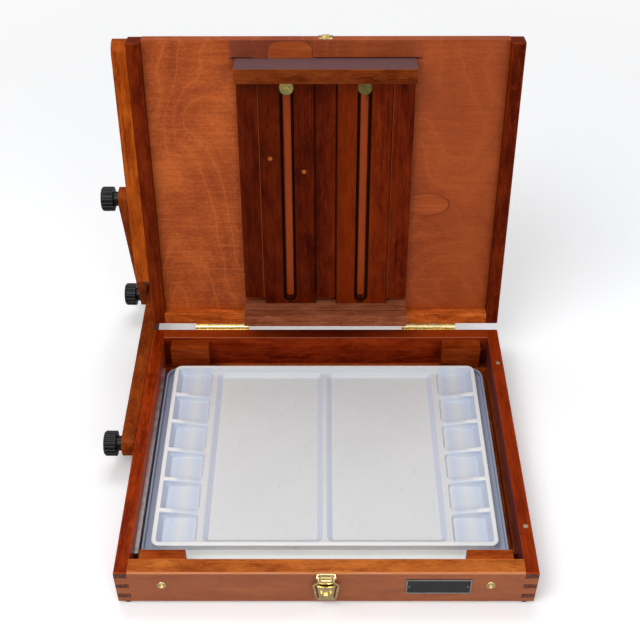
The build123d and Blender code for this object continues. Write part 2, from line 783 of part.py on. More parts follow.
def arm_knob(x, place):
    """An arm knob whose neck faces the arm's outer side at x."""
    size = (KNOB_R, KNOB_T, NECK_R, NECK_L, STUD_R + RUNNING, KNOB_BORE_L)
    return Pos(x - KNOB_OFF, *place) * Rot(0, -90, 0) * knob(*size)


def mast_nut():
    """The right knob on the back of the lid, with the lid closed."""
    size = (NUT_R, NUT_T, NUT_NECK_R, NUT_NECK_L, MAST_BOLT_R + RUNNING, NUT_BORE_L)
    return Pos(BOARD_X, Y_BACK - MAST_BOLT_S, RIM + LID_T + KNOB_OFF) * knob(*size)


# ---- latch ------------------------------------------------------------------------------------


def latch_base():
    half = LATCH_BASE_W / 2
    low, high = RIM - LATCH_BASE_DROP[1], RIM - LATCH_BASE_DROP[0]
    base = block((-half, half), (Y_FRONT - LATCH_BASE_T, Y_FRONT), (low, high))
    ear_z = (LATCH_AXIS[1] - LATCH_EAR_R, LATCH_AXIS[1] + LATCH_EAR_R)
    wide = LATCH_EAR_X[1]
    base += block((-wide, wide), (Y_FRONT - LATCH_BASE_T, Y_FRONT), ear_z)
    ear = block(LATCH_EAR_X, (LATCH_AXIS[0], Y_FRONT), ear_z)
    ear += rod(LATCH_EAR_R, LATCH_EAR_X[1] - LATCH_EAR_X[0], (LATCH_EAR_X[0], *LATCH_AXIS), "x")
    for piece in both_sides(ear):
        base += piece
    return cut(base, [latch_pin(), *latch_brads()])


def latch_pin():
    half = LATCH_EAR_X[1]
    pin = rod(LATCH_PIN_R, 2 * half, (-half, *LATCH_AXIS), "x")
    for bead in both_sides(rod(LATCH_PIN_HEAD_R, LATCH_PIN_HEAD_T, (half, *LATCH_AXIS), "x")):
        pin += bead
    return pin


def latch_brads():
    size = (LATCH_BRAD_HEAD_R, LATCH_BRAD_HEAD_T, LATCH_BRAD_R, LATCH_BRAD_L)
    y = Y_FRONT - LATCH_BASE_T - LATCH_BRAD_HEAD_T
    return [bolt(*size, (0, y, RIM - drop), "y") for drop in LATCH_BRAD_DROP]


def lever_face(inset):
    """The lever's tapered outline, drawn in by the inset."""
    half = [
        (CHEEK_X[1], LEVER_NECK_DROP),
        (LEVER_TOP_HALF, LEVER_SHOULDER_DROP),
        (LEVER_FOOT_HALF, LEVER_FOOT - LEVER_FOOT_CUT),
        (LEVER_FOOT_HALF - LEVER_FOOT_CUT, LEVER_FOOT),
    ]
    points = half + [(-x, drop) for x, drop in reversed(half)]
    y = LATCH_AXIS[0] + LEVER_T / 2
    face = make_face(Polyline(*[(x, y, RIM - drop) for x, drop in points], close=True))
    return offset(face, -inset, kind=Kind.INTERSECTION) if inset else face


def lever_plate():
    """The tapered frame, open at the neck, with the shield that stands up in it."""
    y = (LATCH_AXIS[0] - LEVER_T / 2, LATCH_AXIS[0] + LEVER_T / 2)
    outer, window, inner = [
        extrude(lever_face(inset), LEVER_T, dir=(0, -1, 0))
        for inset in (0, LEVER_RIM, LEVER_RIM + LEVER_SLOT)
    ]
    neck = block((-CHEEK_X[0], CHEEK_X[0]), y, (RIM - SHIELD_DROP, RIM))
    top = RIM - SHIELD_DROP
    foot_half = LEVER_FOOT_HALF - LEVER_FOOT_CUT
    foot = RIM - LEVER_FOOT
    shield = inner & block((-LEVER_TOP_HALF, LEVER_TOP_HALF), y, (foot, top))
    hollow = (0, y[0], top - SHIELD_HOLLOW + SHIELD_HOLLOW_R)
    shield = shield - rod(SHIELD_HOLLOW_R, LEVER_T, hollow, "y")
    shield += block((-foot_half, foot_half), y, (foot, foot + 2 * LEVER_RIM + LEVER_SLOT))
    return outer - window - neck + shield


def lever_lip():
    """The half-round ridge low on the shield."""
    z = RIM - LEVER_LIP_DROP
    y = LATCH_AXIS[0] - LEVER_T / 2
    ring = rod(LEVER_LIP_R, LEVER_LIP_T, (0, y, z), "-y")
    ring = ring - rod(LEVER_LIP_R - LEVER_LIP_W, LEVER_LIP_T, (0, y, z), "-y")
    half = block((-LEVER_LIP_R, LEVER_LIP_R), (y - LEVER_LIP_T, y), (z - LEVER_LIP_R, z))
    return ring & half


def lug_web():
    """The limits (y, z) of the web under the loop's lug."""
    y, z = LOOP_AXIS
    return (y - LUG_WEB_T / 2, y + LUG_R), (z - LUG_R - LUG_WEB_T / 2, z - LUG_R + LUG_WEB_T / 2)


def lever_cheek():
    """The right cheek, which joins the plate to the pin and carries the loop's lug."""
    cheek = link(LATCH_AXIS, LOOP_AXIS, CHEEK_X, 2 * CHEEK_R)
    web_y, web_z = lug_web()
    plate_y = (LATCH_AXIS[0] - LEVER_T / 2, LATCH_AXIS[0] + LEVER_T / 2)
    cheek += block(CHEEK_X, (web_y[0], plate_y[1]), (web_z[0], LOOP_AXIS[1]))
    return cheek + block(CHEEK_X, plate_y, (RIM - LEVER_NECK_DROP - LEVER_RIM, LATCH_AXIS[1]))


def loop_lug():
    """The tube round the loop's lower bar and the web that ties it to the cheeks."""
    web_y, web_z = lug_web()
    lug = rod(LUG_R, 2 * LUG_HALF, (-LUG_HALF, *LOOP_AXIS), "x")
    lug += block((-LUG_HALF, LUG_HALF), web_y, web_z)
    return lug + block((-CHEEK_X[1], CHEEK_X[1]), web_y, (web_z[0], web_z[0] + LUG_WEB_T / 2))


def latch_lever():
    lever = lever_plate() + lever_lip() + loop_lug()
    for cheek in both_sides(lever_cheek()):
        lever += cheek
    half = CHEEK_X[1]
    lever = lever - rod(LATCH_PIN_R + RUNNING, 2 * half, (-half, *LATCH_AXIS), "x")
    return lever - rod(LOOP_WIRE_R + RUNNING, 2 * LUG_HALF, (-LUG_HALF, *LOOP_AXIS), "x")


def latch_loop():
    """The wire loop, drawn upright and then leant outwards on its lower bar."""
    y, z = LOOP_AXIS
    wire = rod(LOOP_WIRE_R, LOOP_L, (LOOP_HALF, y, z), "z")
    wire += rod(LOOP_WIRE_R, LOOP_L, (-LOOP_HALF, y, z), "z")
    for level in (z, z + LOOP_L):
        wire += rod(LOOP_WIRE_R, 2 * LOOP_HALF, (-LOOP_HALF, y, level), "x")
    for x in (-LOOP_HALF, LOOP_HALF):
        for level in (z, z + LOOP_L):
            wire += Pos(x, y, level) * Sphere(LOOP_WIRE_R)
    return Pos(0, y, z) * Rot(LOOP_LEAN, 0, 0) * Pos(0, -y, -z) * wire


def strike():
    half = STRIKE_W / 2
    y = (Y_FRONT - STRIKE_T, Y_FRONT)
    plate = block((-half, half), y, (RIM + STRIKE_H[0], RIM + STRIKE_H[1]))
    lip_half = STRIKE_LIP_W / 2
    lip_y = (Y_FRONT - STRIKE_LIP_OUT, Y_FRONT)
    plate += block((-lip_half, lip_half), lip_y, (RIM + STRIKE_LIP_H[0], RIM + STRIKE_LIP_H[1]))
    return cut(plate, strike_brads())


def strike_brads():
    size = (LATCH_BRAD_HEAD_R, LATCH_BRAD_HEAD_T, LATCH_BRAD_R, LATCH_BRAD_L)
    place = (STRIKE_BRAD_X, Y_FRONT - STRIKE_T - LATCH_BRAD_HEAD_T, RIM + STRIKE_BRAD_H)
    return both_sides(bolt(*size, place, "y"))


# ---- palette and its cover --------------------------------------------------------------------


def palette_cover():
    outer = tray_outline(COVER_X, COVER_Y, COVER_CORNER_R, COVER_Z)
    tray = extrude(outer, COVER_RIM_H)
    inner_y = (COVER_Y[0] + COVER_WALL, COVER_Y[1] - COVER_WALL)
    inner_r = COVER_CORNER_R - COVER_WALL
    inner = tray_outline(COVER_X - COVER_WALL, inner_y, inner_r, COVER_Z + COVER_T)
    return Pos(TRAYS_OFF_X, 0, 0) * (tray - extrude(inner, COVER_RIM_H))


def pocket(x, y, corner_r, taper):
    """A well with sloping walls between the limits x and y, down to the palette's floor."""
    outline = RectangleRounded(x[1] - x[0], y[1] - y[0], corner_r)
    middle = ((x[0] + x[1]) / 2, (y[0] + y[1]) / 2, WELL_TOP)
    return extrude(Pos(*middle) * outline, PALETTE_Z + PALETTE_FLOOR - WELL_TOP, taper=taper)


def paint_well(number):
    start = WELL_Y[0] + number * WELL_PITCH
    y = (start, start + WELL_PITCH - RIDGE_W)
    return pocket((DIVIDER_X[1], WELL_OUT_X), y, WELL_CORNER_R, WELL_TAPER)


def well_ridge(number):
    """The wall before the numbered well, which falls from the rim to the divider."""
    middle = WELL_Y[0] + number * WELL_PITCH - RIDGE_W / 2
    outer = PALETTE_X - PALETTE_RIM
    points = [(DIVIDER_X[1], WELL_TOP), (outer, WELL_TOP), (outer, PALETTE_TOP)]
    ridge = prism_y(points, (middle - RIDGE_W / 2, middle + RIDGE_W / 2))
    slope = ridge.faces().sort_by(Axis.Z)[-1]
    edges = [edge for edge in slope.edges() if abs(edge.tangent_at(0.5).Y) < 0.5]
    return fillet(edges, RIDGE_EDGE_R)


def palette():
    outline = tray_outline(PALETTE_X, PALETTE_Y, PALETTE_CORNER_R, PALETTE_TOP)
    tray = extrude(outline, -PALETTE_H, taper=PALETTE_TAPER)
    tray = fillet(tray.faces().sort_by(Axis.Z)[-1].edges(), PALETTE_EDGE_R)
    inner_y = (PALETTE_Y[0] + PALETTE_RIM, PALETTE_Y[1] - PALETTE_RIM)
    inner_r = PALETTE_CORNER_R - PALETTE_RIM
    inner = tray_outline(PALETTE_X - PALETTE_RIM, inner_y, inner_r, PALETTE_TOP)
    tray = tray - extrude(inner, -DIVIDER_DROP, taper=WELL_TAPER)
    for number in range(1, WELLS):
        for ridge in both_sides(well_ridge(number)):
            tray += ridge
    wells = [pocket((RIB_W / 2, DIVIDER_X[0]), WELL_Y, MIX_CORNER_R, MIX_TAPER)]
    wells += [paint_well(number) for number in range(WELLS)]
    for well in wells:
        tray = cut(tray, both_sides(well))
    return Pos(TRAYS_OFF_X, 0, 0) * tray


# ---- all pieces -------------------------------------------------------------------------------


def fixed_parts():
    right_strip, left_strip = guide_strips()
    return {
        "case_front": front_wall(),
        "case_back": back_wall(),
        "case_left_side": left_wall(),
        "case_right_side": right_wall(),
        "case_floor": floor_panel(),
        "front_corner_blocks": group(front_blocks()),
        "back_corner_blocks": group(back_blocks()),
        "cover_cleats": group(cleats()),
        "guide_strip_right": right_strip,
        "guide_strip_left": left_strip,
        "strip_screws": group(strip_screws(driven=True)),
        "rubber_feet": group(rubber_feet()),
        "cup_washers": group(cup_washers()),
        "front_screws": group(cup_screws(driven=True)),
        "rim_pins": group(rim_pins()),
        "blank_plate": blank_plate(),
        "plate_pins": group(plate_pins()),
        "tripod_socket": tripod_socket(),
        "socket_screws": group(socket_screws(driven=True)),
        "case_hinge_leaves": group(case_leaves()),
        "case_leaf_screws": group(leaf_screws(-1, driven=True)),
        "hinge_pins": group(hinge_pins()),
        "case_arm_bolt": case_arm_bolt(),
        "latch_base": latch_base(),
        "latch_pin": latch_pin(),
        "latch_brads": group(latch_brads()),
        "latch_lever": latch_lever(),
        "latch_loop": latch_loop(),
        "arm_lower": lower_arm(),
        "arm_upper": upper_arm(),
        "elbow_bolt": elbow_bolt(),
        "knob_case": arm_knob(LOWER_ARM_X[0], CASE_PIVOT),
        "knob_elbow": arm_knob(UPPER_ARM_X[0], elbow_place()),
        "knob_lid": arm_knob(UPPER_ARM_X[0], lid_place(LID_PIVOT_S, LID_PIVOT_H)),
        "palette_cover": palette_cover(),
        "palette_tray": palette(),
    }


def lid_parts():
    """The pieces drawn with the lid closed."""
    right_board = mast_board()
    nuts = both_sides(mast_nut())
    return {
        "lid_left_stile": left_stile(),
        "lid_right_stile": stile(1),
        "lid_bottom_rail": lid_rail(),
        "lid_panel": lid_panel(),
        "guide_slats": group(guide_slats()),
        "canvas_ledge": canvas_ledge(),
        "ledge_screws": group(ledge_screws(driven=True)),
        "mast_bolts": group(mast_bolts()),
        "lid_side_rail": side_rail(),
        "side_rail_screws": group(side_rail_screws(driven=True)),
        "lid_arm_bolt": lid_arm_bolt(),
        "lid_hinge_leaves": group(lid_leaves()),
        "lid_leaf_screws": group(leaf_screws(1, driven=True)),
        "strike_plate": strike(),
        "strike_brads": group(strike_brads()),
        "mast_right_board": right_board,
        "mast_left_board": mirror(right_board, about=Plane.YZ),
        "mast_top_bar": mast_bar(),
        "mast_nut_right": nuts[0],
        "mast_nut_left": nuts[1],
    }


def main():
    os.makedirs("parts", exist_ok=True)
    parts = fixed_parts()
    for name, shape in lid_parts().items():
        parts[name] = LID_OPEN * shape
    for name, shape in parts.items():
        shape.label = name
        export_step(shape, f"parts/{name}.step")
        print(name, len(shape.solids()), round(shape.volume, 1))


if __name__ == "__main__":
    main()
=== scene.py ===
"""Looks of the pochade box: camera, light, floor and a procedural material for every surface."""

import bpy
from math import cos, radians, sin
from mathutils import Matrix, Vector


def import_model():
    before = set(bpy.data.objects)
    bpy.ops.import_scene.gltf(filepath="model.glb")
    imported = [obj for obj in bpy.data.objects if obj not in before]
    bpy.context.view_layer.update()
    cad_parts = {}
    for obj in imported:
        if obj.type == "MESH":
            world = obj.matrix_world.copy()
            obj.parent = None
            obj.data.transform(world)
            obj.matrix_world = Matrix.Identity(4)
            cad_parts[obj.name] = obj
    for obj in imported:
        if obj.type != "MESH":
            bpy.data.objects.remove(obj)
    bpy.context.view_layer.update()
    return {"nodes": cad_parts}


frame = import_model()
scene = bpy.context.scene

# Places on the part, in metres and degrees: X to the right, Y to the back, Z up.
# Names that end in _S are distances from the lid's hinge edge.
RIM = 0.046
Y_FRONT = -0.16675
Y_BACK = 0.16675
HINGE_Y = 0.17165
OPEN_DEG = 99.3
FLOOR_Z = -0.0035
BACK_INNER_Y = 0.15275
X_INNER = 0.1868
SLOT_X = 0.04035
SLOT_HALF_W = (0.0052, 0.0042)
SLOT_END_S = (0.302, 0.300)
STEP_W = 0.0154
BOARD_PROUD = 0.0018
GAP_X = 0.0115
OUTER_GAP_X = 0.0689
BAR_TOP_S = 0.315
STRIP_START_S = (0.302, 0.306)
STRIP_HALF_W = (0.100, 0.094)
PALETTE_TOP = 0.0255
WELLS_X = 0.128
WELL_MIDDLE_X = 0.1458
KNOTS = ((-0.0587, 0.2093), (-0.0230, 0.1942))

# Veneer repairs: lightness, X, distance from the hinge edge, half width, half height, squareness.
REPAIRS = ((1.0, 0.110, 0.1494, 0.0250, 0.0135, 2.0), (1.1, -0.0364, 0.318, 0.0227, 0.0145, 3.5))

# Colours of stain, wear and light, linear.
# Painted reflection and shade on the case's front face, and a painted highlight on the rounding above
# it.
FRONT_FACE_SHEEN = (0.35, 0.125, 0.072)
FRONT_EDGE_HIGHLIGHT = (0.70, 0.33, 0.19)
# Painted shadow across the middle of the back rim, lighter towards its ends, and a painted highlight
# along its inner edge.
BACK_RIM_SHADOW = (0.065, 0.005, 0.0008)
BACK_RIM_LIT = (0.30, 0.042, 0.004)
BACK_EDGE_HIGHLIGHT = (0.50, 0.19, 0.11)
LEFT_STAIN = (0.02, 0.0015, 0.0003)
RIGHT_STAIN = (0.30, 0.036, 0.002)
# The left inner face is lighter; the right inner face is painted shade with a mauve painted reflection.
LEFT_INNER = (0.40, 0.060, 0.016)
RIGHT_INNER_SHADE = (0.085, 0.028, 0.040)
END_DARK = (0.075, 0.026, 0.020)
END_PALE = (0.22, 0.085, 0.060)
# Painted shade in the low steps beside the boards' slots.
STEP_SHADE = (0.016, 0.0028, 0.001)
# Painted reflection: the grey-purple sheen on the top bar's upper face.
BAR_TOP_SHEEN = (0.15, 0.075, 0.078)
KNOT = (0.55, 0.15, 0.025)
# Painted highlight beside the outer gaps, and painted shade in the gaps between the boards and the
# slats.
GAP_EDGE_HIGHLIGHT = (0.36, 0.075, 0.012)
GAP_SHADE = (0.008, 0.001, 0.0004)
STRIP_STAIN = (0.17, 0.036, 0.019)
# Painted shadow line in the gap between the top bar and the ply.
BAR_GAP_SHADOW = (0.02, 0.004, 0.003)
# Painted light: the ply seen through the slots, lighter and more orange than the rest.
SLOT_PLY_LIT = (0.66, 0.085, 0.004)
PITS = (0.13, 0.12, 0.04)
DULL_BRASS = (0.08, 0.055, 0.01)
# Painted bluish shade in the wells and on the palette's walls, and a painted highlight on the tops of
# its rim and ridges.
WELL_MIDDLE = (0.66, 0.69, 0.74)
WELL_EDGE_SHADE = (0.53, 0.60, 0.74)
PALETTE_WALL_SHADE = (0.60, 0.65, 0.77)
PALETTE_RIM_HIGHLIGHT = (0.88, 0.88, 0.86)
# Painted shade on the cover's sides.
COVER_SIDE_SHADE = (0.34, 0.385, 0.50)
WHITE = (1, 1, 1)

VARNISH_ROUGH = 0.34
VARNISH_LEVEL = 0.035
METAL_SCRATCH = 0.4
FLOOR_SIZE = 12
FLOOR_LIFT = 0.06
LIFT_FROM, LIFT_FULL = 0.3, 2.0  # squares of the distances from the middle


# ---- node helpers ------------------------------------------------------------


class Graph:
    """A material's node tree, with short calls for the nodes that repeat."""

    def __init__(self, name):
        self.mat = bpy.data.materials.new(name)
        self.mat.use_nodes = True
        self.tree = self.mat.node_tree
        self.tree.nodes.clear()
        self.out = self.tree.nodes.new("ShaderNodeOutputMaterial")

    def node(self, kind, **settings):
        made = self.tree.nodes.new("ShaderNode" + kind)
        for key, value in settings.items():
            setattr(made, key, value)
        return made

    def put(self, value, socket):
        if isinstance(value, bpy.types.NodeSocket):
            self.tree.links.new(value, socket)
        else:
            socket.default_value = value

    def math(self, operation, a, b=0.0):
        made = self.node("Math", operation=operation)
        self.put(a, made.inputs[0])
        self.put(b, made.inputs[1])
        return made.outputs[0]

    def coords(self, turn_deg=0.0, scale=(1, 1, 1)):
        """The part's coordinates, turned about X and scaled."""
        place = self.node("TexCoord").outputs["Object"]
        turn = self.node("Mapping")
        turn.inputs["Rotation"].default_value = (radians(turn_deg), 0, 0)
        self.put(place, turn.inputs["Vector"])
        grow = self.node("VectorMath", operation="MULTIPLY")
        self.put(turn.outputs[0], grow.inputs[0])
        grow.inputs[1].default_value = scale
        return grow.outputs[0]

    def split(self, vector):
        made = self.node("SeparateXYZ")
        self.put(vector, made.inputs[0])
        return made.outputs

    def noise(self, vector, scale=1.0, detail=3.0, rough=0.5, bend=0.0):
        made = self.node("TexNoise")
        self.put(vector, made.inputs["Vector"])
        made.inputs["Scale"].default_value = scale
        made.inputs["Detail"].default_value = detail
        made.inputs["Roughness"].default_value = rough
        made.inputs["Distortion"].default_value = bend
        return made.outputs[0]

    def span(self, value, low, high, to_low=0.0, to_high=1.0):
        """value from low..high to to_low..to_high, held at the ends."""
        made = self.node("MapRange", clamp=True)
        for socket, number in zip(made.inputs, (value, low, high, to_low, to_high)):
            self.put(number, socket)
        return made.outputs[0]

    def paint(self, colour, socket):
        """Put a socket, or a colour without its alpha, into a colour socket."""
        self.put(colour if isinstance(colour, bpy.types.NodeSocket) else (*colour, 1), socket)

    def mix(self, factor, a, b):
        made = self.node("Mix", data_type="RGBA")
        self.put(factor, made.inputs[0])
        self.paint(a, made.inputs[6])
        self.paint(b, made.inputs[7])
        return made.outputs[2]

    def ramp(self, factor, *stops):
        made = self.node("ValToRGB")
        elements = made.color_ramp.elements
        while len(elements) < len(stops):
            elements.new(0.5)
        for element, (place, colour) in zip(elements, stops):
            element.position = place
            element.color = (*colour, 1)
        self.put(factor, made.inputs[0])
        return made.outputs[0]

    def bump(self, height, distance, strength=1.0, soften=0.0006):
        """Bump over slightly rounded edges, so that every edge catches a highlight."""
        edge = self.node("Bevel", samples=4)
        edge.inputs["Radius"].default_value = soften
        made = self.node("Bump")
        made.inputs["Strength"].default_value = strength
        made.inputs["Distance"].default_value = distance
        self.put(height, made.inputs["Height"])
        self.put(edge.outputs[0], made.inputs["Normal"])
        return made.outputs[0]

    def worn_lit_edges(self, radius):
        """1 along the edges, where the rounded normal leaves the flat one, 0 elsewhere."""
        edge = self.node("Bevel", samples=6)
        edge.inputs["Radius"].default_value = radius
        turn = self.node("VectorMath", operation="DOT_PRODUCT")
        self.put(edge.outputs[0], turn.inputs[0])
        self.put(self.node("NewGeometry").outputs["True Normal"], turn.inputs[1])
        return self.span(turn.outputs["Value"], 0.985, 0.9)

    def rounded(self, turn_deg=0.0):
        """1 on the modelled roundings between the flat faces of a straight piece, 0 elsewhere."""
        parts = [self.math("ABSOLUTE", part) for part in self.facing(turn_deg)]
        most = self.math("MAXIMUM", self.math("MAXIMUM", parts[0], parts[1]), parts[2])
        return self.span(most, 0.975, 0.88)

    def facing(self, turn_deg=0.0):
        """The parts of the flat normal along the frame turned about X."""
        turn = self.node("Mapping")
        turn.inputs["Rotation"].default_value = (radians(turn_deg), 0, 0)
        self.put(self.node("NewGeometry").outputs["True Normal"], turn.inputs["Vector"])
        return self.split(turn.outputs[0])

    def shade(self, colour, rough, normal, metal=0.0, level=0.5):
        made = self.node("BsdfPrincipled")
        self.paint(colour, made.inputs["Base Color"])
        self.put(rough, made.inputs["Roughness"])
        self.put(normal, made.inputs["Normal"])
        made.inputs["Metallic"].default_value = metal
        made.inputs["Specular IOR Level"].default_value = level
        self.tree.links.new(made.outputs[0], self.out.inputs[0])
        return made


def tint(colour, factor):
    return tuple(channel * factor for channel in colour)


def deepen(colour, factor):
    """A darker or lighter tone of a stained wood: green and blue change more than red."""
    red, green, blue = colour
    return (red * factor, green * factor ** 1.5, blue * factor ** 2)


# ---- wood ----------------------------------------------------------------------

GRAIN = {"x": (0.07, 1, 1), "y": (1, 0.07, 1)}


def lid_height(g):
    """Height above the closed case's rim, in the closed lid's frame."""
    closed = g.split(g.coords(OPEN_DEG))
    rise = HINGE_Y * sin(radians(OPEN_DEG)) + RIM * cos(radians(OPEN_DEG))
    return g.math("SUBTRACT", closed["Z"], rise)


def lid_reach(g):
    """Distance from the lid's hinge edge."""
    closed = g.split(g.coords(OPEN_DEG))
    start = HINGE_Y * cos(radians(OPEN_DEG)) - RIM * sin(radians(OPEN_DEG)) - (HINGE_Y - Y_BACK)
    return g.math("SUBTRACT", start, closed["Y"])


def wood(name, colour, along, turn_deg=0.0, depth=0.5, streak=1.0, edge=1.6, wear_and_highlight=0.75, patch=None):
    """Varnished solid wood with its grain along x or y of the frame turned about X."""
    g = Graph(name)
    stretch = GRAIN[along]
    place = g.coords(turn_deg, stretch)
    broad = g.noise(place, 16, 4, 0.55, 1.0)
    mottle = g.noise(g.coords(turn_deg, tuple(s ** 0.4 for s in stretch)), 75, 4, 0.6, 0.5)
    fibre = g.noise(place, 190, 6, 0.7, 0.4)
    flecks = g.noise(g.coords(turn_deg, tuple(s ** 0.6 for s in stretch)), 520, 3, 0.6)
    pores = g.noise(g.coords(turn_deg, tuple(s * s for s in stretch)), 900, 2, 0.6)
    tone = g.math("MULTIPLY", g.math("ADD", g.math("ADD", broad, mottle), fibre), 0.333)
    base = g.ramp(tone, (0.41, deepen(colour, depth)), (0.5, colour), (0.59, deepen(colour, 1.5)))
    streaks = g.math("MULTIPLY", g.span(fibre, 0.55, 0.72), 0.45 * streak)
    base = g.mix(streaks, base, deepen(colour, depth * 0.7))
    base = g.mix(g.span(pores, 0.56, 0.72, 0.0, 0.55), base, deepen(colour, 0.3))
    base = g.mix(g.span(flecks, 0.56, 0.68, 0.0, 0.5), base, deepen(colour, 0.4))
    base = g.mix(g.span(flecks, 0.44, 0.34, 0.0, 0.45), base, deepen(colour, 1.6))
    if patch:
        base = patch(g, base)
    # Lighter edges: partly real wear, partly a painted highlight along the edges that catch the light.
    edges = g.math("MAXIMUM", g.worn_lit_edges(0.0011), g.rounded(turn_deg))
    rub_and_highlight = g.math("MULTIPLY", edges, g.span(mottle, 0.35, 0.6, 0.5 * wear_and_highlight, wear_and_highlight))
    base = g.mix(rub_and_highlight, base, deepen(colour, edge))
    rough = g.math("ADD", VARNISH_ROUGH, g.span(fibre, 0.3, 0.7, -0.06, 0.1))
    height = g.math("SUBTRACT", g.math("MULTIPLY", fibre, 0.5), g.span(pores, 0.6, 0.75, 0, 0.5))
    g.shade(base, rough, g.bump(height, 0.00012, 0.6, 0.0008), level=VARNISH_LEVEL)
    return g.mat


def case_front_sheen(g, base):
    """The front face painted duller and browner, as a painted reflection of the pale floor with painted
    shade, and a painted highlight on the rounding above it.
    """
    turned = g.facing()
    face = g.span(turned["Y"], -0.6, -0.95)
    edge = g.math("MULTIPLY", g.span(turned["Y"], -0.15, -0.5), g.span(turned["Z"], 0.1, 0.45))
    base = g.mix(face, base, g.mix(0.72, base, FRONT_FACE_SHEEN))
    return g.mix(edge, base, FRONT_EDGE_HIGHLIGHT)


def back_tone(g, base):
    """The back's rim: painted shadow in the middle, lighter towards the ends, and a painted highlight
    along its inner edge.
    """
    axes = g.split(g.coords())
    top = g.span(g.facing()["Z"], 0.6, 0.95)
    line = g.math("MULTIPLY", top, g.span(axes["Y"], BACK_INNER_Y + 0.0016, BACK_INNER_Y + 0.0008))
    away = g.span(g.math("ABSOLUTE", axes["X"]), 0.01, 0.13)
    tone = g.ramp(away, (0.1, BACK_RIM_SHADOW), (0.9, BACK_RIM_LIT))
    base = g.mix(g.math("MULTIPLY", top, 0.7), base, tone)
    return g.mix(g.math("MULTIPLY", line, 0.75), base, BACK_EDGE_HIGHLIGHT)


def left_darker(g, base):
    """Two boards of a pair are never the same: the left one is darker."""
    across = g.split(g.coords())["X"]
    dim = g.span(across, -0.03, 0.03, 0.35, 0.0)
    lit = g.math("MULTIPLY", g.span(across, 0.0, 0.02, 0, 0.3), g.span(across, 0.06, 0.04))
    base = g.mix(dim, base, LEFT_STAIN)
    return g.mix(lit, base, RIGHT_STAIN)


def slat_tone(g, base):
    """The slats' stain, with painted shade and highlights along the gaps."""
    return gaps(g, left_darker(g, base))


def side_tone(g, base):
    """Dark end grain outside, a lighter left inner face, and painted shade with a mauve painted
    reflection on the right inner face.
    """
    across = g.split(g.coords())["X"]
    side = g.facing()["X"]
    inside = g.span(g.math("ABSOLUTE", across), X_INNER + 0.0004, X_INNER + 0.0002)
    left = g.math("MULTIPLY", inside, g.span(side, 0.6, 0.95))
    right = g.math("MULTIPLY", inside, g.span(side, -0.6, -0.95))
    base = g.mix(g.span(across, -0.1, 0.1, 0.0, 0.45), base, deepen(SIDE, 0.6))
    base = g.mix(g.math("MULTIPLY", left, 0.7), base, LEFT_INNER)
    base = g.mix(g.math("MULTIPLY", right, 0.7), base, RIGHT_INNER_SHADE)
    return end_grain(g, base)


def end_grain(g, base):
    """The pins' dark end grain, where the sides come through the front and the back."""
    axes = g.split(g.node("TexCoord").outputs["Object"])
    depth = g.math("ABSOLUTE", axes["Y"])
    end = g.span(depth, Y_BACK - 0.0006, Y_BACK - 0.0003)
    rings = g.noise(g.coords(), 700, 3, 0.6)
    dark = g.ramp(rings, (0.38, END_DARK), (0.62, END_PALE))
    return g.mix(end, base, dark)


def step_shadow(g, base):
    """Painted shade in the low step that runs along each board's slot."""
    across = g.math("ABSOLUTE", g.split(g.coords())["X"])
    beside = g.math("ABSOLUTE", g.math("SUBTRACT", across, SLOT_X))
    step = g.span(beside, STEP_W / 2 + 0.0007, STEP_W / 2 + 0.0003)
    low = g.span(lid_height(g), 0.0004 - BOARD_PROUD, 0.0009 - BOARD_PROUD)
    return g.mix(g.math("MULTIPLY", low, step), base, STEP_SHADE)


def bar_sheen(g, base):
    """Painted sheen on the top bar's upper face: a greyer, flatter colour that stands in for its
    reflection.
    """
    turned = g.facing(OPEN_DEG)
    top = g.span(turned["Y"], -0.6, -0.95)
    return g.mix(top, base, BAR_TOP_SHEEN)


def knots(g, base):
    """Two small pale knots."""
    across = g.split(g.coords())["X"]
    reach = lid_reach(g)
    for x, s in KNOTS:
        u = g.math("SUBTRACT", across, x)
        v = g.math("SUBTRACT", reach, s)
        away = g.math("SQRT", g.math("ADD", g.math("MULTIPLY", u, u), g.math("MULTIPLY", v, v)))
        base = g.mix(g.span(away, 0.0030, 0.0014, 0, 0.75), base, KNOT)
    return base


def gaps(g, base):
    """Painted shade along the gaps between the boards and the slats, and a painted highlight on the edge
    beside each outer gap.
    """
    across = g.math("ABSOLUTE", g.split(g.coords())["X"])
    inner = g.math("ABSOLUTE", g.math("SUBTRACT", across, GAP_X))
    outer = g.math("SUBTRACT", across, OUTER_GAP_X)
    line = g.math("MULTIPLY", g.span(outer, 0.0004, 0.0008), g.span(outer, 0.0016, 0.0012))
    base = g.mix(g.math("MULTIPLY", line, 0.7), base, GAP_EDGE_HIGHLIGHT)
    beside_inner = g.span(inner, 0.0013, 0.0009)
    beside_outer = g.span(g.math("ABSOLUTE", outer), 0.0007, 0.0004)
    return g.mix(g.math("MAXIMUM", beside_inner, beside_outer), base, GAP_SHADE)


def board_tone(g, base):
    """The boards' stain and knots, with painted shade along the gaps and in the steps, and painted
    highlights beside the outer gaps.
    """
    return step_shadow(g, gaps(g, knots(g, left_darker(g, base))))


